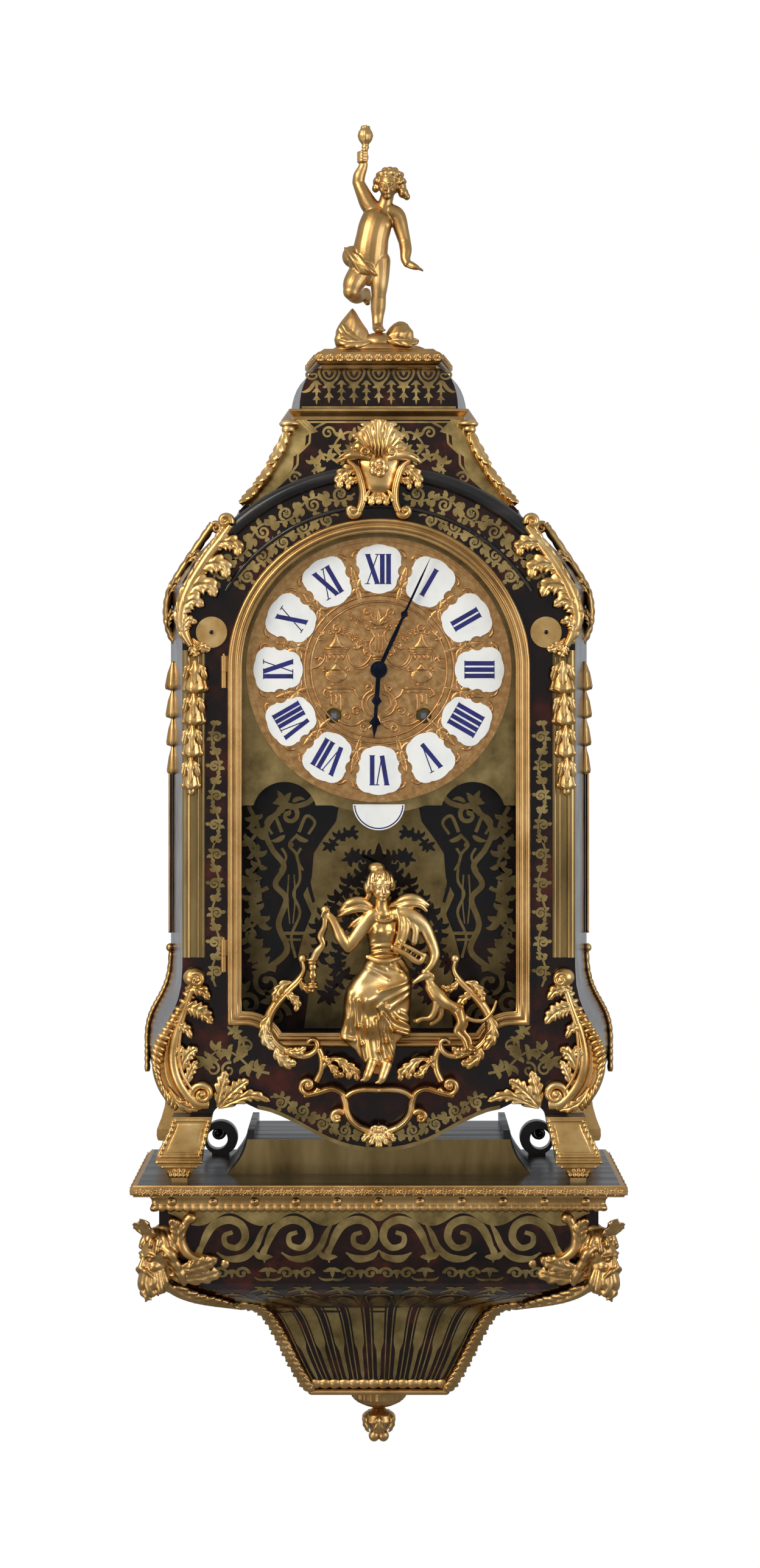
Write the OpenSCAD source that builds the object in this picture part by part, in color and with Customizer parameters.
// Boulle bracket clock on its wall console.
// Heights in the clock are measured from the top of the shelf. The wall is the plane Y = 0, the front faces -Y
// and the origin lies on the wall, midway between the two fixing screws.

/* [Console] */
// Width of the shelf board
shelf_w = 424; // [420:1:460]
// Depth of the shelf board from the wall
shelf_d = 184; // [180:1:200]
// Thickness of the shelf board
shelf_t = 10; // [8:0.5:14]
// How far the gilt edge stands out from the shelf board
edge_out = 6; // [4:0.5:8]
// Height of the gilt frieze band under the shelf
frieze_h = 14; // [10:0.5:18]
// Width of the console body under the frieze
console_w = 388; // [380:1:396]
// Depth of the console body under the frieze
console_d = 170; // [166:1:174]
// Height of the tapering console body
console_h = 192; // [180:1:205]
// Width of the foot of the console
console_foot_w = 116; // [110:1:124]
// Depth of the foot of the console
console_foot_d = 60; // [58:1:66]
// Thickness of the board against the wall
wall_board_t = 14; // [12:0.5:18]
// Distance between the two wall screws
screw_gap = 240; // [220:1:260]
// Diameter of the wall screw holes
screw_d = 6; // [4:0.5:8]
// How far the wall screws lie below the shelf top
screw_drop = 60; // [52:1:70]
// Height of the stand between the feet
stand_h = 31; // [26:0.5:36]
// Width of the stand at its base
stand_w = 274; // [262:1:280]

/* [Case] */
// Width of the case front
case_w = 348; // [344:1:354]
// Depth of the case behind its front board
case_d = 136; // [130:1:142]
// How far each side splays out from front to back
case_splay = 22; // [16:1:26]
// Thickness of the front board
front_t = 14; // [12:0.5:16]
// Thickness of the side walls
wall_t = 9; // [7:0.5:11]
// Thickness of the back board
back_t = 12; // [10:0.5:14]
// Gap between the back of the case and the wall
wall_gap = 12; // [8:1:16]
// Radius of the arched top
arch_r = 197; // [195:1:200]
// Height of the top of the arch
arch_top = 635; // [632:1:638]
// Height where the sides start to swell
knee_top = 190; // [184:1:196]
// Height where the sides are widest
knee_z = 105; // [100:1:110]
// How far the knees swell past the sides
knee_out = 20; // [16:1:23]
// Height of the feet
foot_h = 58; // [55:1:61]
// Height of the lowest point of the apron
apron_z = 26; // [22:1:30]

/* [Door] */
// Outer half-width and arch radius of the door frame
door_r = 134; // [132.5:0.5:135.5]
// Height of the dial centre, which is also the door arch's centre
dial_z = 453; // [450:0.5:455]
// Height of the lower corners of the door
door_foot = 138; // [134:1:142]
// Depth of the lowered middle of the door below its corners
door_dip = 19; // [16:1:22]
// Width of the moulded door frame
frame_w = 13; // [12:0.5:14]
// Thickness of the door frame
frame_t = 9; // [8:0.5:10]
// Thickness of the door glass
glass_t = 2; // [1.5:0.5:3]
// Diameter of the hinge knuckles
knuckle_d = 5.6; // [5:0.2:6.4]
// Diameter of the hinge pins
hinge_pin_d = 2.4; // [2:0.1:3]

/* [Dial] */
// Radius of the cast dial
dial_r = 118; // [116:0.5:119]
// Thickness of the cast dial
dial_t = 5; // [4:0.5:6]
// Radius of the middle of the ring of hour plaques
plaque_ring = 89.5; // [88:0.5:91]
// Width of an hour plaque at its outer edge
plaque_w = 40; // [36:0.5:42]
// Height of an hour plaque
plaque_h = 44; // [40:0.5:46]
// Thickness of the enamel on the plaques
plaque_t = 2.4; // [2:0.2:3]
// Radius of the plain plaque under the dial
name_r = 23; // [20:0.5:25]
// Length of the minute hand
minute_len = 112; // [104:1:114]
// Length of the hour hand
hour_len = 62; // [56:1:66]
// Angle of the minute hand past twelve, in degrees
minute_angle = 24.8; // [0:0.1:359]
// Angle of the hour hand past twelve, in degrees
hour_angle = 184; // [0:0.1:359]

/* [Movement] */
// Half-width of the movement plates
plate_hw = 84; // [83:0.5:87]
// Half-height of the movement plates
plate_hh = 90; // [89:0.5:93]
// Thickness of the movement plates
plate_t = 3; // [2.5:0.5:4]
// Distance between the movement plates
plate_gap = 46; // [45.5:0.5:50]
// Room for the motion work between dial and front plate
motion_gap = 10; // [9.5:0.5:12]
// Sideways distance of the winding squares from the dial centre
wind_x = 40; // [39.5:0.25:41]
// Drop of the winding squares below the dial centre
wind_drop = 41; // [40.5:0.25:42]
// Radius of the spring barrels
barrel_r = 24; // [20:0.5:25]
// Teeth on each barrel's great wheel
great_teeth = 72; // [72:1:72]
// Leaves on the pinions that the great wheels drive
lead_leaves = 12; // [12:1:12]
// Radius of the pendulum bob
bob_r = 21; // [18:0.5:23]
// Length of the pendulum from its axis to the middle of the bob
pendulum_len = 162; // [150:1:166]
// Radius of the bell
bell_r = 38; // [34:0.5:42]

/* [Roof] */
// Half-width of the roof's base at the front
roof_base = 124; // [122:1:126]
// Half-width of the roof's waist at the front
roof_waist = 76; // [74:1:80]
// Height of the roof's waist
roof_waist_z = 680; // [676:1:684]
// Height of the gilt moulding round the waist
waist_h = 10; // [8:0.5:12]
// Height of the cushion dome
dome_h = 40; // [36:0.5:44]
// Height of the gilt cap under the figure
cap_h = 18; // [15:0.5:20]
// How far each side of the roof splays out from front to back
roof_splay = 11; // [6:1:13]

/* [Clearances] */
// Running gap between pieces that move past each other
run_gap = 0.3; // [0.2:0.05:0.4]
// Radial clearance of an arbor in its pivot hole
pivot_gap = 0.05; // [0.03:0.01:0.08]
// Gap between a gilt mount and the veneer that it is pinned to
mount_gap = 0.2; // [0.1:0.05:0.3]

/* [Hidden] */
$fn = 64;
shelf_z = screw_drop;                          // shelf top above the origin
console_top = -shelf_t - frieze_h;             // top of the tapering body
console_end = console_top - console_h;         // underside of the tapering body
case_hw = case_w / 2;
case_y1 = -wall_gap;                           // back of the case
front_y1 = case_y1 - case_d;                   // back of the front board
front_y0 = front_y1 - front_t;                 // face of the front board
splay_k = (case_hw + case_splay) / case_hw;    // width at the back over width at the front
arch_z = arch_top - arch_r;
back_y0 = case_y1 - back_t;                    // face of the back board
back_k = 1 + (splay_k - 1) * (case_d - back_t) / case_d;

door_y1 = front_y0 - run_gap;                  // back of the door frame
door_y0 = door_y1 - frame_t;                   // face of the door frame
glass_y1 = door_y1 - 1.7;
hinge_x = -door_r - knuckle_d / 2 - run_gap;
hinge_y = door_y1 - knuckle_d / 2 - run_gap;
knuckle_h = 14;
scroll_deep = 5;                               // half-depth of the door's scrollwork
hinge_zs = [door_foot + 62, dial_z - 2];

mask_t = 2.5;
mask_y0 = front_y1;                            // the dial mask lies on the back of the front board
mask_y1 = mask_y0 + mask_t;
dial_y0 = mask_y0 - dial_t;
hour_y = dial_y0 - plaque_t - 2;
minute_y = hour_y - 2;
hand_t = 1;
plate_a1 = mask_y1 + motion_gap + plate_t;     // front plate lies from plate_a1 - plate_t to plate_a1
plate_b0 = plate_a1 + plate_gap;               // back plate lies from plate_b0 to plate_b0 + plate_t
plate_b1 = plate_b0 + plate_t;

// Train: arbors as [x, z] from the dial centre
barrel_go = [wind_x, -wind_drop];
barrel_st = [-wind_x, -wind_drop];
great_dist = norm(barrel_go);
great_m = 2 * great_dist / (great_teeth + lead_leaves);
centre_teeth = 60;
third_leaves = 10;
third_teeth = 60;
escape_leaves = 8;
third_at = [-20, 28.7];
centre_m = 2 * norm(third_at) / (centre_teeth + third_leaves);
escape_at = [0, 47.1];
third_m = 2 * norm(escape_at - third_at) / (third_teeth + escape_leaves);
escape_r = 18;
pallet_at = [0, 76];
pin_at = barrel_st + great_dist * [cos(112.6), sin(112.6)];
minute_wheel_at = [0, 26];
cannon_teeth = 36;
hour_teeth = 72;
hour_leaves = 6;
motion_m = norm(minute_wheel_at) / cannon_teeth;
hour_m = 2 * norm(minute_wheel_at) / (hour_teeth + hour_leaves);
hammer_at = [-66, 60];
strike_y = plate_a1 + plate_gap * 0.6;         // plane of the hammer and bell post
pend_y = plate_b1 + 8;                         // plane of the pendulum rod

roof_y1 = case_y1 - 2;                         // back of the roof
roof_front = -138;                             // front of the roof's base
roof_in = 30;                                  // how far the roof's front leans back to the waist
waist_front = roof_front + roof_in;
dome_z = roof_waist_z + waist_h;
cap_z = dome_z + dome_h;
figure_z = cap_z + cap_h;
figure_y = -58;

// Curves: points of a cubic, of an arc and of a spiral, and lists read backwards or mirrored
function bez(a, b, c, d, n = 8) =
    [for (i = [0:n]) let (t = i / n, u = 1 - t) u*u*u*a + 3*u*u*t*b + 3*u*t*t*c + t*t*t*d];
function arc(c, r, a0, a1, n = 16) = [for (i = [0:n]) let (a = a0 + (a1 - a0) * i / n) c + r * [cos(a), sin(a)]];
function spiral(c, r0, r1, a0, a1, n = 14) =
    [for (i = [0:n]) let (t = i / n, a = a0 + (a1 - a0) * t) c + (r0 + (r1 - r0) * t) * [cos(a), sin(a)]];
function back(p) = [for (i = [len(p) - 1:-1:0]) p[i]];
function left(p) = [for (q = p) [-q[0], q[1]]];
function at_y(p, y) = [for (q = p) [q[0], y, q[1]]];
function unit(v) = v / max(norm(v), 1e-9);
function mix(a, b, t) = a + (b - a) * t;
// Radii along a path that swell from a to b at share m and fall to c
function swell(n, a, b, c, m = 0.4) =
    [for (i = [0:n - 1]) let (t = i / (n - 1)) t < m ? mix(a, b, sin(90 * t / m)) : mix(b, c, pow((t - m) / (1 - m), 1.5))];

module both() {
    children();
    mirror([1, 0, 0]) children();
}

module on_shelf() translate([0, 0, shelf_z]) children();

// A flat shape drawn in X and Z, from y0 back to y1
module slab(y0, y1) translate([0, y1, 0]) rotate([90, 0, 0]) linear_extrude(y1 - y0) children();

// A rod along Y at a point [x, z], from y0 back to y1
module rod(p, r, y0, y1) translate([p[0], y1, p[1]]) rotate([90, 0, 0]) cylinder(r = r, h = y1 - y0);

// A closed solid through rings that all have the same number of points
module skin(rings) {
    n = len(rings[0]);
    m = len(rings);
    sides = [for (i = [0:m - 2], j = [0:n - 1]) let (k = (j + 1) % n)
        each [[i*n + j, i*n + k, (i + 1)*n + k], [i*n + j, (i + 1)*n + k, (i + 1)*n + j]]];
    ends = [[for (j = [n - 1:-1:0]) j], [for (j = [0:n - 1]) (m - 1)*n + j]];
    polyhedron([for (r = rings) each r], concat(sides, ends));
}

// An oval rod along a path: half-width ra across the path as seen from the front, half-depth rb along Y
function oval(path, i, ra, rb, sides) =
    let (n = len(path),
         t = unit(path[min(i + 1, n - 1)] - path[max(i - 1, 0)]),
         across = unit(abs(t[1]) > 0.95 ? cross(t, [1, 0, 0]) : cross(t, [0, 1, 0])),
         deep = cross(across, t))
    [for (j = [0:sides - 1]) let (a = 360 * (j + 0.5) / sides) path[i] + ra * cos(a) * across + rb * sin(a) * deep];

module strand(path, ra, rb, sides = 8) {
    rings = [for (i = [0:len(path) - 1]) oval(path, i, ra[i], rb[i], sides)];
    for (i = [0:len(path) - 2])
        hull() skin([rings[i], rings[i + 1]]);
}

// A leaf: a flat strand that swells and ends in a point
module leaf(path, w, deep, sides = 6) {
    n = len(path);
    strand(path, swell(n, w * 0.45, w, w * 0.12), swell(n, deep, deep, deep * 0.5), sides);
}

// A ball drawn out to three half-sizes
module lump(c, size, sides = 8) {
    rings = [for (i = [0:5]) let (a = -75 + 30 * i)
        [for (j = [0:sides - 1]) let (b = 360 * j / sides)
            c + [size[0] * cos(a) * cos(b), size[1] * cos(a) * sin(b), size[2] * sin(a)]]];
    hull() skin(rings);
}

// Four corners of a splayed rectangle at height z: front half-width, front, back, splay
function splayed(hw, y0, y1, s, z) = [[-hw, y0, z], [hw, y0, z], [hw + s, y1, z], [-hw - s, y1, z]];

// A moulding carried round the front and two sides of a splayed rectangle; profile points are [out, up]
module moulding(hw, y0, y1, s, z, profile) {
    function corner(p, side) = [side * (hw + p[0]), y0 - p[0], z + p[1]];
    function wall(p, side) = [side * (hw + s + p[0]), y1, z + p[1]];
    skin([[for (p = profile) wall(p, -1)], [for (p = profile) corner(p, -1)],
          [for (p = profile) corner(p, 1)], [for (p = profile) wall(p, 1)]]);
}

// Toothed outline: n teeth of module m, with thin straight flanks that leave backlash
module teeth(n, m, add = 0.8, ded = 1.15, turn = 0) {
    pitch = 360 / n;
    r = n * m / 2;
    polygon([for (i = [0:n - 1]) let (a = i * pitch + turn)
        each [for (q = [[r - ded*m, -0.25], [r + add*m, -0.09], [r + add*m, 0.09], [r - ded*m, 0.25]])
            q[0] * [cos(a + q[1]*pitch), sin(a + q[1]*pitch)]]]);
}

// A wheel with rim, four crossings and hub, toothed, with its arbor hole
module wheel2d(n, m, hub, hole, turn = 0) {
    r = n * m / 2;
    rim = r - 3.2 * max(m, 1);
    difference() {
        teeth(n, m, turn = turn);
        circle(rim);
    }
    difference() {
        union() {
            circle(hub);
            for (a = [0, 90]) rotate(a + turn) square([2 * rim + 1, 3.4], center = true);
        }
        circle(hole);
    }
}

function gap_turn(leaves, towards) = towards + 180 / leaves;
function heading(a, b) = atan2(b[1] - a[1], b[0] - a[0]);

module at_dial() translate([0, 0, shelf_z + dial_z]) children();

// Console

function console_side() = concat(
    [[console_w / 2, -shelf_t], [console_w / 2, console_top - 36]],
    bez([console_w / 2, console_top - 38], [console_w / 2, console_top - 76],
        [console_w / 2 - 42, console_top - 86], [console_w / 2 - 82, console_top - 100], 9),
    bez([console_w / 2 - 82, console_top - 100], [console_w / 2 - 102, console_top - 107],
        [console_foot_w / 2 + 28, console_end + 44], [console_foot_w / 2, console_end], 8));
function console_inset(p) = (console_w / 2 - p[0]) / (console_w / 2 - console_foot_w / 2);
function console_front() =
    [for (p = console_side()) [-console_d + console_inset(p) * (console_d - console_foot_d), p[1]]];

module console_form() {
    intersection() {
        slab(-console_d, -wall_board_t) polygon(concat(console_side(), back(left(console_side()))));
        translate([-console_w / 2, 0, 0]) rotate([90, 0, 90]) linear_extrude(console_w)
            polygon(concat(console_front(), [[-wall_board_t, console_end], [-wall_board_t, -shelf_t]]));
    }
}

module console_shelf() color("#1d1a19") on_shelf()
    translate([-shelf_w / 2, -shelf_d, -shelf_t]) cube([shelf_w, shelf_d, shelf_t]);

module shelf_edge() color("#b98a2e") on_shelf()
    moulding(shelf_w / 2, -shelf_d, 0, 0, -shelf_t,
        [[0, 0], [edge_out * 0.5, 0], [edge_out * 0.6, shelf_t * 0.15], [edge_out, shelf_t * 0.3],
         [edge_out, shelf_t * 0.7], [edge_out * 0.6, shelf_t * 0.9], [edge_out * 0.5, shelf_t], [0, shelf_t]]);

module console_frieze() color("#b98a2e") on_shelf()
    moulding(console_w / 2, -console_d, 0, 0, console_top,
        [[0, 0], [7, 0], [7.5, frieze_h * 0.2], [5, frieze_h * 0.35], [5, frieze_h * 0.75], [8, frieze_h * 0.95],
         [8, frieze_h], [0, frieze_h]]);

module console_body() color("#2a1a14") on_shelf() console_form();

module wall_board() color("#6b4a2b") on_shelf()
    difference() {
        slab(-wall_board_t, 0) polygon(concat(console_side(), back(left(console_side()))));
        for (s = [-1, 1]) rod([s * screw_gap / 2, -screw_drop], screw_d / 2, -wall_board_t - 1, 1);
    }

// Corner of the console body at share t down its edge, pushed out by o
function console_corner(i, o) = let (p = console_side()[i], q = console_front()[i])
    [p[0] + o, q[0] - o, p[1]];

module console_masks() color("#b98a2e") on_shelf() difference() {
    both() {
        c = [console_w / 2 + 1, -console_d - 1, console_top - 38];
        lump(c + [4, -4, 4], [17, 17, 24], 8);
        lump(c + [15, -15, 0], [4, 4, 6], 6);
        lump(c + [12, -12, -14], [7, 7, 7], 6);
        lump(c + [2, -2, 27], [20, 20, 10], 6);
        lump(c + [-9, -6, 4], [11, 9, 26], 6);
        lump(c + [6, 9, 4], [9, 11, 26], 6);
        strand([for (i = [4:11]) console_corner(i, 1)], swell(8, 14, 16, 5), swell(8, 9, 8, 3), 6);
        leaf(at_y([[console_w/2 - 22, console_top - 30], [console_w/2 - 26, console_top - 52],
            [console_w/2 - 34, console_top - 70], [console_w/2 - 52, console_top - 82]], -console_d - 1), 9, 5);
    }
    console_form();
    translate([-shelf_w / 2, -wall_board_t, console_end]) cube([shelf_w, wall_board_t, console_h]);
}

module console_borders() color("#b98a2e") on_shelf() difference() {
    union() {
        both() strand([for (i = [13:len(console_side()) - 1]) console_corner(i, 1)], swell(8, 6, 7, 6), swell(8, 6, 7, 6), 6);
        moulding(console_foot_w / 2, -console_foot_d, -wall_board_t, 0, console_end,
            [[0, 0], [4, 0], [5, 3], [3.5, 5], [5.5, 9], [6.5, 14], [3, 17], [0, 17]]);
    }
    console_form();
    translate([-console_w / 2, -console_d * 2, console_end - 20]) cube([console_w, console_d * 2, 20]);
}

cup_r = 26;
cup_h = 22;
drop_h = 30;
module pendant() color("#b98a2e") on_shelf() translate([0, -console_foot_d / 2, console_end])
    rotate_extrude() polygon(concat([[0, 0], [cup_r, 0]],
        bez([cup_r, -3], [cup_r + 1, -12], [cup_r - 8, -cup_h + 3], [8, -cup_h], 8), [[4.5, -cup_h - 3]],
        bez([6, -cup_h - 4], [18, -cup_h - 6], [18, -cup_h - 18], [7, -cup_h - 18], 8),
        bez([8, -cup_h - 20], [11, -cup_h - 24], [8, -cup_h - drop_h], [0, -cup_h - drop_h], 6)));

stand_y0 = -127;
stand_back = -24;
stand_post = 9;
function stand_end(h) = bez([stand_w / 2, 0], [stand_w / 2 - 8, h * 0.2], [stand_w / 2 - 17, h * 0.55],
    [stand_w / 2 - 19, h], 6);
module clock_stand() color("#191716") on_shelf() {
    e = stand_end(stand_h + 8);
    tip = stand_w / 2 - 19;
    slab(stand_y0, stand_back) polygon(concat(e,
        [[tip - 6, stand_h + 8], [tip - 6, stand_h], [6 - tip, stand_h], [6 - tip, stand_h + 8]], back(left(e))));
}

module stand_front() color("#a98a45") on_shelf()
    slab(stand_y0 - 1.5, stand_y0) polygon(concat(stand_end(stand_h), back(left(stand_end(stand_h)))));

// Case

// Right-hand edge of the case, from the foot up and over the arch, set in by i
function case_edge(i) =
    let (hw = case_hw - i, r = arch_r - i, a = acos(hw / r))
    concat(
        bez([hw - 8, foot_h], [hw + 8, foot_h + 8], [hw + knee_out, knee_z - 26], [hw + knee_out, knee_z], 7),
        bez([hw + knee_out, knee_z + 4], [hw + knee_out, knee_z + 42], [hw, knee_top - 46], [hw, knee_top], 7),
        arc([0, arch_z], r, a, 90, 12));

// Lower edge of the apron, from the foot to the middle
function apron_edge(up = 0) = concat(
    [[case_hw - 24, foot_h + up]],
    bez([case_hw - 26, foot_h + up], [case_hw - 30, foot_h + 9 + up], [case_hw - 38, foot_h + 12 + up],
        [case_hw - 47, foot_h + 12 + up], 5),
    bez([case_hw - 50, foot_h + 12 + up], [case_hw - 60, foot_h + 11 + up], [case_hw - 62, foot_h + 5 + up],
        [case_hw - 74, foot_h + 4 + up], 4),
    bez([case_hw - 78, foot_h + 3 + up], [63, foot_h - 8 + up], [44, apron_z + up], [0, apron_z + up], 10));

module case_outline() {
    half = concat(back(apron_edge()), case_edge(0));
    polygon(concat(half, back(left(half))));
}

// Outline of the door, set in by i, with lowered middle
module door_shape(i) {
    dip = door_foot - door_dip;
    difference() {
        union() {
            translate([0, dial_z]) circle(door_r - i);
            translate([i - door_r, dip + i]) square([2 * (door_r - i), dial_z - dip - i]);
        }
        for (s = [-1, 1]) {
            translate([s * (door_r - 16), door_foot + i - 24]) circle(24);
            translate([s * (door_r + 6 - 11) - 11, door_foot + i - 24 - 16]) square([22, 40]);
        }
    }
}

opening_in = 11;
module case_front() color("#24140f") on_shelf()
    slab(front_y0, front_y1) difference() {
        case_outline();
        door_shape(opening_in);
    }

// A flat shape drawn in X and Z that starts at the back of the front board and splays out towards the wall
module splayed_slab(depth, k, cuts = 1) translate([0, front_y1, 0]) mirror([0, 1, 0]) rotate([90, 0, 0])
    linear_extrude(depth, scale = [k, 1], slices = cuts) children();

module case_carcass() color("#2a1a14") on_shelf()
    splayed_slab(case_d, splay_k) {
        half = concat(case_edge(0), back(left(case_edge(0))));
        inner = concat(case_edge(wall_t), back(left(case_edge(wall_t))));
        polygon(concat(half, back(inner)));
    }

module case_back() color("#3a2417") on_shelf()
    slab(back_y0, case_y1) scale([1, 1]) polygon([for (p = concat(case_edge(wall_t), back(left(case_edge(wall_t)))))
        [p[0] * back_k, p[1]]]);

floor_t = 8;
floor_hw = case_hw - wall_t - 12;
module case_floor() color("#4a3120") on_shelf()
    translate([-floor_hw, front_y1, foot_h + 13]) cube([2 * floor_hw, back_y0 - front_y1, floor_t]);

arch_bead = 6.5;
module arch_moulding() color("#1a100d") on_shelf() translate([0, front_y0, arch_z]) {
    for (ring = [[arch_r - arch_bead - 0.5, arch_bead, 35], [arch_r - 37, 2, 32]])
        rotate([90, 0, 0]) rotate([0, 0, ring[2]]) rotate_extrude(angle = 180 - 2 * ring[2])
            translate([ring[0], 0]) intersection() {
                circle(ring[1]);
                translate([-ring[1], 0]) square([2 * ring[1], ring[1]]);
            }
}

strip_t = 1.5;
module strip_shape() {
    low = [for (p = back(apron_edge())) if (p[0] < 112) p];
    top = [for (p = back(apron_edge(3.6))) if (p[0] < 112) p];
    polygon(concat(back(left(low)), low, back(top), left(top)));
    translate([-3.5, apron_z + 2]) square([7, 6]);
    translate([0, apron_z + 8]) circle(3.5);
}
module apron_strip() color("#b59a4f") on_shelf() slab(front_y0 - strip_t, front_y0) strip_shape();

strip_in = 20;
strip_z0 = knee_top + 8;
strip_z1 = 470;
module corner_strips() color("#b8893a") on_shelf() both()
    translate([0, 0, strip_z0]) linear_extrude(strip_z1 - strip_z0) {
        translate([case_hw - strip_in, front_y0 - 1.2]) square([strip_in, 1.2]);
        for (o = [14, 18]) translate([case_hw - o, front_y0 - 1.2]) circle(1.2);
        intersection() {
            translate([case_hw - 4, front_y0]) circle(4);
            translate([case_hw - 8, front_y0 - 4]) square([8, 4]);
        }
    }

// Gilt mounts stand on the face of the front board
function mount_y(deep) = front_y0 - mount_gap - deep;

shoulder_path = [[case_hw - 16, 470], [case_hw - 3, 488], [case_hw - 1, 512], [case_hw - 6, 534],
    [case_hw - 18, 556], [case_hw - 30, 573], [case_hw - 38, 588], [case_hw - 46, 594]];
module shoulder_mounts() color("#c39a3e") on_shelf() both() {
    n = len(shoulder_path);
    y = mount_y(arch_bead + 3.7);
    strand(at_y(shoulder_path, y), swell(n, 7, 9, 4), swell(n, 4.5, 4.5, 4), 6);
    lump([case_hw - 42, y, 594], [5, 5, 5], 6);
    for (q = [[0, 1, 494, 22], [0, 4, 518, 24], [0, 14, 543, 24], [0, 28, 565, 20]])
        leaf(at_y([[case_hw - 2 - q[1], q[2]], [case_hw - 12 - q[1], q[2] + 5], [case_hw - 22 - q[1], q[2] + 3],
            [case_hw - 4 - q[1] - q[3], q[2] - 7]], y), 7, 3.5);
}

// A gilt mount on each back corner, wrapped outside the case
module rear_mounts() color("#b98a2e") on_shelf() both() {
    y = back_y0;
    out = 6.8;
    path = concat([[case_hw + out, 452], [case_hw + out, 500]], arc([0, arch_z], arch_r + out, 29, 48, 5));
    strand([for (p = path) [p[0] * back_k, y, p[1]]], swell(8, 3, 5, 4), swell(8, 9, 9, 7));
    lump([136 * back_k, y, arch_z + 156], [5, 6, 6], 6);
    strand([for (z = [212, 300, 380, 450]) [(case_hw + 3) * back_k, y, z]], swell(4, 3, 3, 3), swell(4, 5, 5, 5), 6);
}

disc_at = [case_hw - 26, 486];
module shoulder_discs() color("#c8a24a") on_shelf() both() {
    rod(disc_at, 13.8, mount_y(3), front_y0 - mount_gap);
    rod(disc_at, 2.2, mount_y(5), front_y0 - 2);
}

husk_x = case_hw - 12;
husk_y = front_y0 - 2.4 - mount_gap;
husk_r = 8.5;
husk_h = 28;
husk_top = 461;
module husk(r, h) rotate_extrude() polygon(concat([[0, 0], [2.4, 0]],
    bez([2.6, -h * 0.08], [r * 1.1, -h * 0.2], [r, -h * 0.62], [r * 1.08, -h * 0.8], 6),
    [[r * 0.5, -h * 0.88], [2.2, -h], [0, -h]]));
module husk_drops() color("#c39a3e") on_shelf() both()
    for (i = [0:3]) let (k = 1 - 0.09 * i)
        translate([husk_x + i * 1.2, husk_y - husk_r * 1.08, husk_top - i * (husk_h + 0.4)]) husk(husk_r * k, husk_h);

knee_path = [[case_hw - 9, 181], [case_hw - 4, 168], [case_hw + 1, 156], [case_hw + 12, 134],
    [case_hw + 19, 110], [case_hw + 17, 88], [case_hw + 6, 70], [case_hw - 8, 66]];
volute_at = [case_hw - 18, 77];
volute_r = 12;
module knee_mounts() color("#c39a3e") on_shelf() difference() {
    both() {
        deep = 6;
        y = mount_y(deep);
        n = len(knee_path);
        strand(at_y(knee_path, y), swell(n, 7, 9, 6, 0.6), swell(n, deep, deep, deep), 6);
        lump([case_hw - 10, y, 186], [10, 6, 9], 8);
        volute = spiral(volute_at, volute_r, 3, -70, 330, 10);
        strand(at_y(volute, y), swell(11, 5, 4, 2.4), swell(11, deep, 5, 5), 6);
        for (q = [[case_hw - 3, 160, case_hw - 24, 164], [case_hw + 2, 140, case_hw - 26, 141],
                [case_hw + 8, 122, case_hw - 16, 120], [case_hw + 12, 104, case_hw - 14, 106]])
            leaf(at_y(bez([q[0], q[1]], [q[0] - 6, q[1] + 5], [q[2] + 8, q[3] + 4], [q[2], q[3]], 4), y), 7, 4);
    }
    translate([-case_w, front_y0 - 50, 0]) cube([2 * case_w, 60, foot_h + mount_gap]);
}

// A sabot foot: a splayed block over two fillets and a small pad
function foot_ring(x, y, w, d, z) = [[x - w, y - d, z], [x + w, y - d, z], [x + w, y + d, z], [x - w, y + d, z]];
module sabot(x, y, lean, d) skin([for (q = [[0, 7, 0, 0], [0, 7, 4, 0], [0, 9, 4.6, 0], [0, 13.5, 15, 1],
        [0, 18.5, 15.5, 1], [0, 19.2, 17, 1], [0, 20, 20, 1], [0.05, 20, 26, 1], [0.45, 18.5, 36, 1],
        [0.8, 17.5, 47, 1], [1, 17.5, foot_h, 1]])
    foot_ring(x - lean * q[0], y + 4 * q[0], q[1], min(d, q[1]), q[2])]);
module front_feet() color("#c08f38") on_shelf() both() sabot(case_hw + 2, front_y0 - 2, 11, 13);
rear_foot_x = (case_hw - 8) * splay_k;
module rear_feet() color("#a8802f") on_shelf() both()
    sabot(rear_foot_x, case_y1 - 18, 6, 12);

scroll_r = 16;
scroll_x = 148;
module shelf_scrolls() color("#161413") on_shelf() both()
    slab(case_y1 - 20, case_y1 - 8) {
        difference() {
            translate([scroll_x, scroll_r]) circle(scroll_r);
            translate([scroll_x + 3, scroll_r - 1]) circle(scroll_r * 0.6);
        }
        translate([scroll_x - 8, 0]) square([16, 3]);
    }

module apron_leaves() color("#c39a3e") on_shelf() both() difference() {
    union() {
        deep = 3.2;
        y = mount_y(deep);
        root = [case_hw - 32, foot_h + 9];
        leaf(at_y(bez(root, root + [-1, 12], root + [-3, 20], root + [-4, 28], 5), y), 7, deep);
        leaf(at_y(bez(root, root + [-8, 10], root + [-15, 17], root + [-24, 20], 5), y - 0.6), 7, deep);
        leaf(at_y(bez(root, root + [-14, 8], root + [-28, 10], root + [-45, 4], 6), y - 0.3), 6, deep);
    }
    rod(volute_at, volute_r + 5.4, front_y0 - 30, front_y0);
    slab(front_y0 - strip_t - mount_gap, front_y0 + 1) strip_shape();
}

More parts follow.
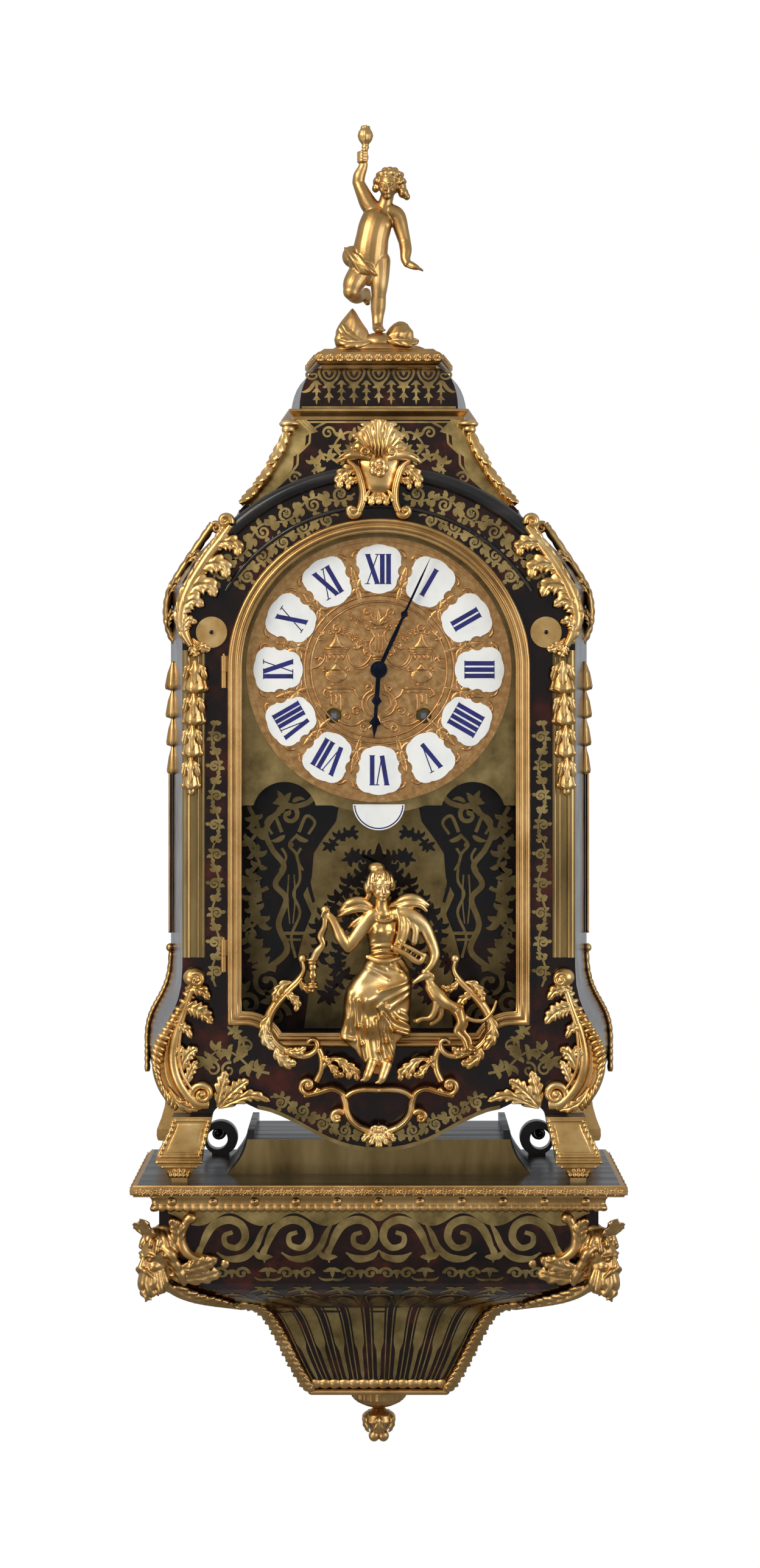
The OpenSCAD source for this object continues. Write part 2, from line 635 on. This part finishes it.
crest_y = front_y0 - arch_bead - mount_gap - 6;
module crest_mount() color("#cda445") on_shelf() {
    z = arch_top;
    for (a = [-48, -24, 0, 24, 48]) let (reach = 40 - abs(a) * 0.26)
        leaf([for (t = [0:3]) [sin(a) * reach * t / 3 * (1 + 0.13 * t), crest_y, z - 3 + cos(a) * reach * t / 3]], 6, 5);
    lump([0, crest_y, z - 6], [17, 6, 22], 8);
    lump([0, crest_y - 4, z - 10], [9, 4, 9], 8);
    both() {
        strand(at_y([[10, z + 4], [20, z + 6], [30, z + 4], [37, z - 1]], crest_y), [7, 7, 5, 2], [6, 6, 5, 3]);
        strand(at_y(concat([[15, z], [12, z - 16], [11, z - 28], [14, z - 38]],
            spiral([21, z - 39], 6.5, 4, 200, 400, 5)), crest_y), swell(10, 4, 4, 3), swell(10, 6, 5, 4), 6);
        leaf(at_y(bez([14, z - 12], [24, z - 6], [36, z - 6], [35, z - 20], 5), crest_y), 6, 4);
    }
}

// Roof

function bell_hw(t) = mix(roof_base, roof_waist, t) - 7 * sin(180 * t);
function bell_front(t) = mix(roof_front, waist_front, t) + 4 * sin(180 * t);
plinth_z = 596;
module bell_form() skin(concat(
    [splayed(roof_base + 1, roof_front - 1, roof_y1, roof_splay, arch_top - 90),
     splayed(roof_base + 1, roof_front - 1, roof_y1, roof_splay, plinth_z)],
    [for (t = [0:0.125:1]) splayed(bell_hw(t), bell_front(t), roof_y1, roof_splay,
        mix(plinth_z + 0.5, roof_waist_z, t))]));
module roof_bell() color("#2b1c15") on_shelf() difference() {
    bell_form();
    splayed_slab(case_d, splay_k, 4) polygon(concat([[case_hw * 1.2, arch_z]],
        arc([0, arch_z], arch_r + 4 * mount_gap, 30, 150, 30), [[-case_hw * 1.2, arch_z]]));
}

// Front corner of the bell-shaped roof at share t of its height, pushed out by o
function edge(t, o) = [bell_hw(t) + o, bell_front(t) - o, mix(plinth_z, roof_waist_z, t)];
module roof_leaves() color("#c39a3e") on_shelf() difference() {
    both() {
        strand([for (t = [0.96, 0.84, 0.72, 0.6, 0.48, 0.36, 0.24, 0.14]) edge(t, 3.4)], swell(8, 6, 5, 4),
            swell(8, 4, 3.6, 3), 6);
        lump(edge(0.94, 5.6), [8, 6, 4.4], 8);
        lump(edge(0.55, 5), [5, 5, 7], 6);
    }
    translate([-200, -200, roof_waist_z]) cube([400, 200, 20]);
}

module waist_moulding() color("#b98a2e") on_shelf()
    moulding(roof_waist - 3, waist_front + 3, roof_y1, roof_splay, roof_waist_z,
        [[0, 0], [4, 0], [4.5, waist_h * 0.3], [7, waist_h * 0.6], [8, waist_h * 0.75], [8, waist_h * 0.95],
         [6, waist_h], [0, waist_h]]);

dome_hw = roof_waist - 3;
dome_in = 20;
module roof_dome() color("#1f1512") on_shelf()
    skin(concat([splayed(dome_hw - 1, waist_front + 4, roof_y1, roof_splay, roof_waist_z)],
        [for (i = [0:8]) let (a = 90 * i / 8, o = dome_in * (1 - cos(a)))
            splayed(dome_hw - 1 - o, waist_front + 4 + o, roof_y1, roof_splay, dome_z + dome_h * sin(a))]));

cap_hw = dome_hw - dome_in - 1;
module roof_cap() color("#b98a2e") on_shelf()
    skin([for (q = [[0, 0], [1, 2.5], [4, 4], [6.5, 7], [6.5, 11], [4, 14], [1, 15.5], [-2, cap_h]])
        splayed(cap_hw + q[0], waist_front + 4 + dome_in - q[0], roof_y1, roof_splay, cap_z + q[1] * cap_h / 18)]);

// Figures: limbs are oval strands through their joints

mound_h = 16;
module putto_mound() color("#a9802f") on_shelf() translate([0, figure_y, figure_z]) difference() {
    union() {
        lump([0, 0, 0], [33, 22, mound_h * 0.75], 12);
        lump([2, -2, mound_h * 0.3], [11, 10, mound_h * 0.7], 8);
        strand([[-26, 0, 2], [-29, 2, 14], [-25, 4, 26], [-22, 4, 33]], [10, 10, 6, 1.5], [9, 9, 6, 1.5]);
        strand([[8, 2, 6], [18, 3, 13], [27, 3, 11], [31, 3, 3]], [6, 9, 8, 4], [7, 8, 8, 5]);
        lump([-12, -10, 3], [9, 8, 8], 6);
        lump([14, -10, 3], [10, 8, 6], 6);
    }
    translate([-50, -50, -40]) cube([100, 100, 40]);
    translate([-2, -10, mound_h]) cube([14, 24, 40]);
}

module putto() color("#b68a33") on_shelf() translate([0, figure_y, figure_z]) {
    strand([[-7, 0, 78], [-6, -1, 86], [-5, -2, 95], [-2, -2, 106], [1, -1, 118], [4, 0, 128], [8, 0, 133]],
        [13, 14, 12, 12.5, 14, 11, 5], [10, 11, 10, 10.5, 11, 9, 5], 10);
    strand([[8, 0, 131], [10, -1, 138], [12, -1, 145]], [5, 5, 6], [5, 5, 6]);
    lump([12, -2, 152], [11, 12, 13.5], 10);
    lump([11, 3, 155], [14, 11, 12], 10);
    strand([[-4, 0, 128], [-12, 0, 137], [-18, -1, 152], [-16, -2, 161], [-13, -2, 170], [-14, -3, 180]],
        [8, 7, 6, 5, 3.6, 4.6], [8, 7, 6, 5, 3.8, 4]);
    strand([[-13, -3, 178], [-12, -3, 186], [-12, -3, 190], [-12, -3, 197], [-12, -3, 204], [-12, -3, 207]],
        [2.4, 3.2, 5.4, 6, 4.6, 1.5], [2.4, 3.2, 5.4, 6, 4.6, 1.5]);
    strand([[16, 0, 124], [22, 1, 112], [25, 0, 97], [26, -4, 86], [27, -8, 76], [33, -11, 70], [40, -13, 69]],
        [7, 6, 5.4, 4.8, 3.4, 3.2, 1.2], [7, 6, 5.4, 4.8, 3.4, 2, 1], 6);
    strand([[1, -1, 78], [2, -3, 66], [1, -3, 52], [0, -1, 46], [1, 1, 36], [1, 1, 24], [1, -1, mound_h + 0.4]],
        [11, 10, 8, 6, 6.6, 4.4, 4.6], [11, 10, 8, 6.4, 7, 4.6, 5]);
    strand([[1, 2, mound_h + 3], [2, -6, mound_h + 2.6], [3, -12, mound_h + 2]], [4, 4.4, 3.6], [3, 2.6, 2], 6);
    strand([[-13, 0, 76], [-20, -6, 62], [-24, -9, 50], [-25, -7, 42]], [11, 10, 8, 6], [10, 9, 8, 6]);
    strand([[-25, -6, 43], [-22, 6, 44], [-18, 18, 45], [-12, 22, 43], [-10, 22, 36]], [6, 6, 4.4, 3.6, 2],
        [6, 6, 4.4, 3.6, 2], 6);
    strand([[-2, -12, 66], [-14, -14, 74], [-26, -6, 82], [-22, 6, 88]], [6, 9, 9, 6], [5, 6, 8, 5]);
}

// Seated figure on the door's scrolls

fig_y = door_y0 - mount_gap;
module seated_figure() color("#cda445") on_shelf() translate([0, fig_y - 2.8, 0]) {
    strand(at_y([[3, 182], [4, 192], [5, 204], [6, 216], [6, 228], [5, 238]], -7),
        [19, 17, 13, 15, 17, 8], [8, 8.5, 8, 9, 8, 6], 10);
    strand([[4, -7, 236], [3, -8, 243], [2, -8.5, 250]], [5, 4.6, 5], [5, 5, 5]);
    lump([2, -9, 260], [8.6, 8.6, 12], 10);
    lump([-1, -7, 269], [12, 9, 11], 10);
    strand([[-2, -8, 236], [-11, -8, 232], [-20, -9, 219], [-27, -9, 208], [-34, -10, 220], [-41, -10, 234], [-48, -9, 243]],
        [6, 6.5, 5.6, 5, 4.6, 3.4, 3.8], [6, 6, 5.4, 5, 4.4, 3.4, 3.4]);
    strand([[10, -7, 237], [21, -7, 236], [34, -7, 230], [46, -6, 217], [47, -6, 203], [44, -8, 193]], [6, 7, 6.4, 5.4, 4.4, 3.8],
        [6, 6, 6, 5, 4.4, 3.6]);
    strand([[2, -7, 188], [-8, -11, 180], [-17, -13, 170], [-20, -12, 158], [-24, -9, 142], [-32, -5, 126]],
        [18, 17, 14, 12, 11, 7], [8, 10, 10, 10, 8, 4]);
    strand([[6, -8, 186], [14, -12, 178], [20, -14, 168], [17, -13, 152], [12, -10, 132], [6, -7, 108]],
        [17, 16, 14, 14, 15, 11], [8, 10, 10, 10, 10, 5]);
    strand(at_y([[-17, 142], [-14, 126], [-12, 110], [-13, 96], [-18, 92]], -6), [7, 6, 4, 4.4, 3], [5, 5, 4, 4, 3], 6);
    lump([5, -3, 128], [10, 5.5, 8], 6);
    strand([[24, -6, 166], [26, -6, 150], [25, -5, 132]], [7, 8, 5], [5, 5, 4], 6);
    leaf([[-12, -6, 236], [-22, -6, 241], [-32, -5, 240], [-40, -4, 236]], 7, 4);
    leaf([[12, -6, 242], [24, -5, 246], [34, -5, 248], [42, -4, 246]], 6, 4);
    strand([[-48, -9, 246], [-49, -8, 232], [-50, -7, 220], [-57, -6, 208], [-59, -6, 194]], swell(5, 2.4, 3.4, 2.4),
        swell(5, 2.4, 3.4, 2.4), 6);
    strand(at_y([[-58, 198], [-58, 193], [-58, 180], [-58, 172]], -6), [9, 5, 4.6, 6], [6, 5, 4.6, 5]);
    strand([[10, -12, 208], [24, -13, 204], [35, -13, 200], [39, -12, 208]], [3, 4, 5, 4], [3, 3, 4, 4], 6);
}

// The hound stands in front of the scrollwork
hound_y = fig_y - 2 * scroll_deep - mount_gap - 6;
module hound() color("#c79c40") on_shelf() translate([0, hound_y, 0]) {
    strand([[47, 0, 172], [52, -1, 164], [60, -1, 158], [67, -1, 154], [72, -1, 148]], [6, 7, 7.5, 7, 5],
        [4, 5, 6, 6, 5]);
    strand([[43, -2, 184], [45, -2, 178], [48, -1, 171]], [4.6, 5.4, 6], [5, 5, 5], 6);
    lump([40, -3, 182], [5, 4, 3.4], 6);
    lump([79, 2.6, 121], [4, 4.9, 4], 6);
    strand([[50, -1, 158], [48, -2, 150], [44, -2, 145], [38, -2, 145]], [5, 4, 3, 2.4], [4, 3.6, 3, 2.4], 6);
    strand([[69, -1, 152], [71, -1, 142], [69, -1, 134], [76, -1, 127], [78, -1, 118]], [6.5, 5.5, 3.4, 2.8, 2.6],
        [5, 5, 3.4, 2.8, 2.6], 6);
    strand([[72, 0, 150], [80, 0, 145], [91, 0, 145], [99, 0, 152], [103, 0, 162]], swell(5, 2.2, 2, 1.2),
        swell(5, 2.2, 2, 1.2), 6);
}

// Door

module door_frame() color("#b98a34") on_shelf() {
    slab(door_y1 - frame_t * 0.55, door_y1) difference() {
        door_shape(0);
        door_shape(frame_w);
    }
    slab(door_y0, door_y1 - frame_t * 0.5) difference() {
        door_shape(frame_w * 0.28);
        door_shape(frame_w * 0.72);
    }
    slab(door_y0 + frame_t * 0.15, door_y1 - frame_t * 0.5) difference() {
        door_shape(0);
        door_shape(frame_w * 0.18);
    }
}

glass_lap = 3;
module door_glass() color([0.8, 0.87, 0.85, 0.25]) on_shelf()
    slab(glass_y1 - glass_t, glass_y1) door_shape(frame_w + mount_gap);

// Scrollwork across the foot of the door, standing on the frame's face
module door_scrolls() color("#cda445") on_shelf() {
    y = door_y0 - mount_gap - scroll_deep;
    both() {
        cee = concat([[69, 192], [66, 180], [76, 170]], bez([84, 164], [102, 148], [97, 130], [80, 117], 6),
            bez([76, 115], [64, 109], [54, 112], [54, 122], 4), [[58, 127], [63, 122]]);
        strand(at_y(cee, y), swell(len(cee), 4, 5.5, 3, 0.5), swell(len(cee), 4, scroll_deep, 4), 6);
        lump([69, y, 193], [5, 5, 5], 6);
        leaf(at_y([[92, 142], [100, 132], [96, 120], [84, 112]], y), 8, 4);
        low = concat([[53, 120], [49, 112], [50, 100], [56, 88]], spiral([62, 86], 9, 3, 250, 520, 6));
        strand(at_y(low, y), swell(len(low), 4, 4.6, 2.6), swell(len(low), 4, 4.6, 4), 6);
        bar = concat(bez([62, 78], [46, 84], [34, 88], [30, 72], 5), bez([29, 68], [28, 56], [16, 48], [6, 46], 5));
        strand(at_y(bar, y), swell(len(bar), 3.4, 4.4, 4), swell(len(bar), 3.6, 4.4, 4), 6);
        strand(at_y(spiral([36, 58], 8, 3, 110, -130, 5), y), swell(6, 3.4, 3.6, 3), swell(6, 4, 4, 4), 6);
        leaf(at_y([[48, 112], [42, 110], [36, 104], [31, 98]], y), 5, 4);
        leaf(at_y([[2, 44], [8, 40], [14, 36]], y), 4, 3.4);
    }
    leaf(at_y([[0, 48], [0, 42], [0, 34], [0, 30]], y), 5, 4);
    strand(at_y([[-31, 74], [-10, 84], [10, 84], [31, 74]], y), [3.4, 3.4, 3.4, 3.4], [4, 4, 4, 4], 6);
}

function hinge_at(z) = [hinge_x, hinge_y, z];
module door_knuckles() color("#b98a34") on_shelf()
    for (z = hinge_zs) difference() {
        translate(hinge_at(z)) union() {
            cylinder(d = knuckle_d, h = knuckle_h);
            translate([0, -1.2, 0]) cube([knuckle_d / 2 + run_gap, 2.4, knuckle_h]);
        }
        translate(hinge_at(z - 1)) cylinder(d = hinge_pin_d + 2 * pivot_gap, h = knuckle_h + 2);
    }

// Each hinge pin stands on a fixed knuckle that is let into the front board's face
module hinge_pins() color("#a57f38") on_shelf()
    for (z = hinge_zs) {
        translate(hinge_at(z)) cylinder(d = hinge_pin_d, h = knuckle_h + 2);
        translate(hinge_at(z - knuckle_h - run_gap)) cylinder(d = knuckle_d, h = knuckle_h);
        translate(hinge_at(z - run_gap - 1)) cylinder(d = hinge_pin_d, h = 2);
        translate(hinge_at(z - knuckle_h - run_gap) + [-1.2, 0, 0]) cube([2.4, front_y0 - hinge_y, knuckle_h]);
    }

// Dial

mask_foot = dial_z - dial_r - 3;
mask_hw = door_r - opening_in + 5;
module dial_mask() color("#9a8347") on_shelf() {
    slab(mask_y0, mask_y1) difference() {
        union() {
            translate([0, dial_z]) circle(mask_hw);
            translate([-mask_hw, mask_foot]) square([2 * mask_hw, dial_z - mask_foot]);
            translate([0, mask_foot + 1]) circle(name_r - 2);
        }
        for (s = [-1, 1]) translate([s * 84, mask_foot - 8]) circle(29);
        translate([0, dial_z]) circle(4);
        for (p = [barrel_go, barrel_st]) translate(p + [0, dial_z]) circle(7);
    }
    for (s = [-1, 1], v = [-1, 1]) rod([s * 68, dial_z + v * 74], 3, mask_y1, mask_y1 + motion_gap);
}

module dial_plate() color("#b9863c") on_shelf() translate([0, 0, dial_z]) difference() {
    union() {
        rod([0, 0], dial_r, dial_y0 + 1.6, mask_y0);
        slab(dial_y0, dial_y0 + 2) difference() {
            circle(dial_r);
            circle(dial_r - 4);
        }
        slab(dial_y0 + 0.4, dial_y0 + 2) difference() {
            circle(65);
            circle(62);
        }
    }
    rod([0, 0], 4, dial_y0 - 1, mask_y0 + 1);
    for (p = [barrel_go, barrel_st]) rod(p, 7, dial_y0 - 1, mask_y0 + 1);
}

// A cartouche that is wider outside, with a nicked waist
module cartouche(w, h) {
    difference() {
        union() {
            for (s = [-1, 1]) {
                translate([s * (w / 2 - 11), h / 2 - 13]) circle(11);
                translate([s * (w / 2 - 13), 11 - h / 2]) circle(9);
            }
            square([w - 16, h - 6], center = true);
            translate([0, h / 2 - 20]) circle(20);
            translate([0, 16 - h / 2]) circle(16);
        }
        for (s = [-1, 1]) translate([s * (w / 2 + 3), -2]) circle(6);
    }
}

module hour_plaques() color("#f3f2ee") on_shelf() translate([0, 0, dial_z])
    for (i = [0:11]) slab(dial_y0 - plaque_t + 1.6, dial_y0 + 1.6)
        rotate(-30 * i) translate([0, plaque_ring]) cartouche(plaque_w, plaque_h);

module name_plaque() color("#f3f2ee") on_shelf()
    slab(mask_y0 - 2, mask_y0) intersection() {
        translate([0, mask_foot + 1]) circle(name_r);
        translate([-name_r, mask_foot + 3 - name_r - 3]) square([2 * name_r, name_r + 1]);
    }

// Hands and motion work

module hand_up(angle) rotate([0, angle, 0]) children();

module minute_hand() color("#1e2430") at_dial() {
    hand_up(minute_angle) slab(minute_y - hand_t, minute_y) {
        polygon([[-1.6, 0], [-1.9, 30], [-1.2, 50], [-3.4, 54], [-1.1, 58], [-0.9, minute_len * 0.8], [0, minute_len],
            [0.9, minute_len * 0.8], [1.1, 58], [3.4, 54], [1.2, 50], [1.9, 30], [1.6, 0]]);
        circle(6);
    }
    rod([0, 0], 3.2, minute_y - 2.6, minute_y);
    rod([0, 0], 1.6, minute_y - 0.5, plate_b1 - 0.4);
    slab(plate_a1 - plate_t - 3.4, plate_a1 - plate_t - 1.4) wheel2d(cannon_teeth, motion_m, 5, 1, 90);
    go = plate_a1 + 3;
    slab(go - 1, go + 3.5) teeth(lead_leaves, great_m, 0.6, 1.1, gap_turn(lead_leaves, heading([0, 0], barrel_go)));
    slab(go + 17, go + 19) wheel2d(centre_teeth, centre_m, 5, 1, heading([0, 0], third_at));
}

module hour_hand() color("#1e2430") at_dial() difference() {
    union() {
        hand_up(hour_angle) slab(hour_y - hand_t, hour_y) {
            polygon([[-2, 0], [-2, 24], [-4.6, 28], [-1.6, 32], [-1.6, 42], [-5.4, 48], [-2.4, 50], [0, hour_len],
                [2.4, 50], [5.4, 48], [1.6, 42], [1.6, 32], [4.6, 28], [2, 24], [2, 0]]);
            circle(7.5);
        }
        rod([0, 0], 3.4, hour_y - 0.5, plate_a1 - plate_t - 4.4);
        slab(plate_a1 - plate_t - 6.6, plate_a1 - plate_t - 4.8)
            wheel2d(hour_teeth, hour_m, 6, 1, heading([0, 0], minute_wheel_at));
    }
    rod([0, 0], 1.6 + pivot_gap, hour_y - 5, plate_a1);
}

module minute_wheel() color("#b08d45") at_dial() {
    slab(plate_a1 - plate_t - 3.4, plate_a1 - plate_t - 1.4) translate(minute_wheel_at)
        wheel2d(cannon_teeth, motion_m, 4, 0.8, gap_turn(cannon_teeth, 270));
    slab(plate_a1 - plate_t - 7, plate_a1 - plate_t - 2) translate(minute_wheel_at)
        teeth(hour_leaves, hour_m, 0.5, 1.0, gap_turn(hour_leaves, 270));
    rod(minute_wheel_at, 1, plate_a1 - plate_t - 3, plate_a1 - 0.5);
}

// Movement

arbors = [[[0, 0], 1.6], [third_at, 1.5], [escape_at, 1.4], [pin_at, 1.5], [hammer_at, 1.5]];
pillar_at = [plate_hw - 5.5, plate_hh - 6];
module movement_plates() color("#b3944a") at_dial() {
    for (y = [plate_a1 - plate_t, plate_b0]) difference() {
        slab(y, y + plate_t) square([2 * plate_hw, 2 * plate_hh], center = true);
        for (p = arbors) rod(p[0], p[1] + pivot_gap, y - 1, y + plate_t + 1);
        for (p = [barrel_go, barrel_st]) rod(p, 4 + pivot_gap, y - 1, y + plate_t + 1);
        rod(pallet_at, y > plate_a1 ? 4 : 1.5 + pivot_gap, y - 1, y + plate_t + 1);
        if (y < plate_a1) rod(minute_wheel_at, 1 + pivot_gap, y - 1, y + plate_t + 1);
    }
    // Cock behind the back plate that carries the pallet arbor and the pendulum's suspension
    difference() {
        union() {
            slab(pend_y + 4, pend_y + 7) translate(pallet_at) square([44, 9], center = true);
            for (s = [-1, 1]) rod(pallet_at + [s * 18, 0], 3, plate_b1, pend_y + 5);
        }
        rod(pallet_at, 1.5 + pivot_gap, pend_y, pend_y + 9);
    }
}

module plate_pillars() color("#b3944a") at_dial()
    for (s = [-1, 1], v = [-1, 1]) translate([s * pillar_at[0], plate_b0, v * pillar_at[1]]) rotate([90, 0, 0])
        rotate_extrude() polygon([[0, 0], [4.5, 0], [4.5, 3], [3, 5], [3, plate_gap * 0.42], [4.6, plate_gap * 0.47],
            [4.6, plate_gap * 0.53], [3, plate_gap * 0.58], [3, plate_gap - 5], [4.5, plate_gap - 3], [4.5, plate_gap],
            [0, plate_gap]]);

barrel_y0 = plate_a1 + 7;
barrel_y1 = plate_b0 - 9;
wind_r = 4;
module barrel(p, wheel_y, turn) {
    difference() {
        union() {
            rod(p, barrel_r, barrel_y0, barrel_y1);
            slab(wheel_y, wheel_y + 2.5) translate(p) difference() {
                teeth(great_teeth, great_m, turn = turn);
                circle(wind_r + pivot_gap);
            }
            rod(p, 8, min(wheel_y, barrel_y0), max(wheel_y + 2.5, barrel_y1));
        }
        rod(p, wind_r + pivot_gap, plate_a1, plate_b0);
    }
}
module going_barrel() color("#b8994d") at_dial() barrel(barrel_go, plate_a1 + 3, heading(barrel_go, [0, 0]));
module strike_barrel() color("#b8994d") at_dial() barrel(barrel_st, plate_b0 - 7.5, heading(barrel_st, pin_at));

// Winding arbor: pivots in both plates, with a square that reaches the dial
module winding_arbor(p) {
    rod(p, wind_r, plate_a1 - plate_t - 2, plate_b1);
    slab(dial_y0 - 0.5, plate_a1 - plate_t - 1) translate(p) square(4.6, center = true);
    rod(p, 6.5, plate_a1 + 0.4, plate_a1 + 2.2);
}
module winding_arbor_going() color("#8f8f93") at_dial() winding_arbor(barrel_go);
module winding_arbor_strike() color("#8f8f93") at_dial() winding_arbor(barrel_st);

module third_wheel() color("#b08d45") at_dial() {
    rod(third_at, 1.5, plate_a1 - plate_t + 0.4, plate_b1 - 0.4);
    slab(plate_a1 + 18.5, plate_a1 + 23.5) translate(third_at)
        teeth(third_leaves, centre_m, 0.55, 1.05, gap_turn(third_leaves, heading(third_at, [0, 0])));
    slab(plate_a1 + 28, plate_a1 + 29.6) translate(third_at)
        wheel2d(third_teeth, third_m, 4, 0.8, heading(third_at, escape_at));
}

module escape_wheel() color("#b08d45") at_dial() {
    rod(escape_at, 1.4, plate_a1 - plate_t + 0.4, plate_b1 - 0.4);
    slab(plate_a1 + 26.5, plate_a1 + 31.5) translate(escape_at)
        teeth(escape_leaves, third_m, 0.5, 1.0, gap_turn(escape_leaves, heading(escape_at, third_at)));
    slab(plate_a1 + 36, plate_a1 + 37.5) translate(escape_at) {
        n = 30;
        difference() {
            polygon([for (i = [0:n - 1]) let (a = i * 360 / n)
                each [escape_r * [cos(a), sin(a)], (escape_r - 3.4) * [cos(a + 2.5), sin(a + 2.5)],
                      (escape_r - 3.4) * [cos(a + 8), sin(a + 8)]]]);
            circle(escape_r - 6);
        }
        difference() {
            union() {
                circle(4);
                for (a = [0, 90]) rotate(a) square([2 * escape_r - 11, 2.4], center = true);
            }
            circle(1);
        }
    }
}

// Strike: pin wheel with eight lifting pins, and the notched count wheel behind the back plate
module pin_wheel() color("#b08d45") at_dial() {
    rod(pin_at, 1.5, plate_a1 - plate_t + 0.4, plate_b1 + 3);
    slab(plate_b0 - 8.5, plate_b0 - 4) translate(pin_at)
        teeth(lead_leaves, great_m, 0.6, 1.1, gap_turn(lead_leaves, heading(pin_at, barrel_st)));
    slab(plate_b0 - 14, plate_b0 - 12) translate(pin_at) difference() {
        circle(16);
        circle(1);
    }
    for (i = [0:7]) rod(pin_at + 13 * [cos(45 * i), sin(45 * i)], 0.9, plate_b0 - 16.5, plate_b0 - 13.5);
    slab(plate_b1 + 1, plate_b1 + 2.4) translate(pin_at) difference() {
        circle(22);
        circle(1);
        // The twelve notches stand 1 to 12 blows apart
        for (i = [1:12]) rotate(360 * i * (i + 1) / 156) translate([21, 0]) square([4.4, 2.2], center = true);
    }
}

// Anchor, crutch, rod and bob swing as one
module pendulum() color("#a8a49a") at_dial() {
    rod(pallet_at, 1.5, plate_a1 - plate_t + 0.4, pend_y + 6.5);
    slab(plate_a1 + 35.5, plate_a1 + 38) difference() {
        union() {
            translate(pallet_at) circle(4);
            intersection() {
                difference() {
                    translate(escape_at) circle(escape_r + 8.5);
                    translate(escape_at) circle(escape_r + 4.5);
                }
                translate(escape_at + [-16, 6]) square([32, 30]);
            }
            translate(escape_at + [-1.6, escape_r + 5]) square([3.2, pallet_at[1] - escape_at[1] - escape_r - 5]);
        }
        translate(pallet_at) circle(1.2);
    }
    slab(pend_y - 4, pend_y - 2.6) {
        translate(pallet_at + [-1.5, -52]) square([3, 52]);
        translate(pallet_at) circle(3.4);
    }
    rod(pallet_at + [0, -50], 0.9, pend_y - 3, pend_y);
    slab(pend_y - 1.3, pend_y + 1.3) translate(pallet_at + [-1.3, 12 - pendulum_len]) square([2.6, pendulum_len - 12]);
    translate([0, pend_y, pallet_at[1] - pendulum_len]) rotate([90, 0, 0]) rotate_extrude()
        polygon(concat([[0, -5]], bez([1, -5], [bob_r * 0.6, -5], [bob_r, -2], [bob_r, 0], 6),
            bez([bob_r, 0], [bob_r, 2], [bob_r * 0.6, 5], [1, 5], 6), [[0, 5]]));
}

bell_z = plate_hh + 18;
bell_t = 2;
module bell() color("#a89a6a") at_dial() {
    translate([-6, plate_a1 - plate_t, plate_hh]) cube([12, plate_gap + 2 * plate_t, 4]);
    translate([0, strike_y, plate_hh + 3]) cylinder(r = 3, h = bell_z - plate_hh + bell_r * 0.7 + 2);
    translate([0, strike_y, bell_z]) rotate_extrude() difference() {
        polygon(concat([[0, 0], [bell_r, 0]], bez([bell_r, 1], [bell_r - 2, bell_r * 0.5],
            [bell_r * 0.6, bell_r * 0.72], [0, bell_r * 0.72], 8)));
        polygon(concat([[0, -1], [bell_r - bell_t, -1]], bez([bell_r - bell_t, 1],
            [bell_r - 2 - bell_t, bell_r * 0.5 - 1], [bell_r * 0.6, bell_r * 0.72 - bell_t],
            [0, bell_r * 0.72 - bell_t], 8)));
    }
    translate([0, strike_y, bell_z + bell_r * 0.72 - 0.5]) cylinder(r = 5, h = 4);
}

// Hammer on its own arbor, at rest just clear of the bell
hammer_gap = 2;
hammer_r = 5;
module hammer() color("#8d8a84") at_dial() {
    head = [-bell_r - hammer_gap - hammer_r, bell_z + 6];
    rod(hammer_at, 1.5, plate_a1 - plate_t + 0.4, plate_b1 - 0.4);
    slab(strike_y - 1.5, strike_y + 1.5) {
        polygon([hammer_at + [-2, 0], hammer_at + [2, 0], head + [1.2, 0], head + [-1.2, 0]]);
        difference() {
            translate(hammer_at) circle(4);
            translate(hammer_at) circle(1);
        }
    }
    rod(head, hammer_r, strike_y - 4, strike_y + 4);
}

console_shelf();
shelf_edge();
console_frieze();
console_body();
wall_board();
console_masks();
console_borders();
pendant();
clock_stand();
stand_front();
shelf_scrolls();
case_front();
case_carcass();
case_back();
case_floor();
arch_moulding();
apron_strip();
corner_strips();
shoulder_mounts();
rear_mounts();
shoulder_discs();
husk_drops();
knee_mounts();
front_feet();
rear_feet();
apron_leaves();
crest_mount();
roof_bell();
roof_leaves();
waist_moulding();
roof_dome();
roof_cap();
putto_mound();
putto();
door_frame();
door_glass();
door_scrolls();
seated_figure();
hound();
door_knuckles();
hinge_pins();
dial_mask();
dial_plate();
hour_plaques();
name_plaque();
minute_hand();
hour_hand();
minute_wheel();
movement_plates();
plate_pillars();
going_barrel();
strike_barrel();
winding_arbor_going();
winding_arbor_strike();
third_wheel();
escape_wheel();
pin_wheel();
pendulum();
bell();
hammer();
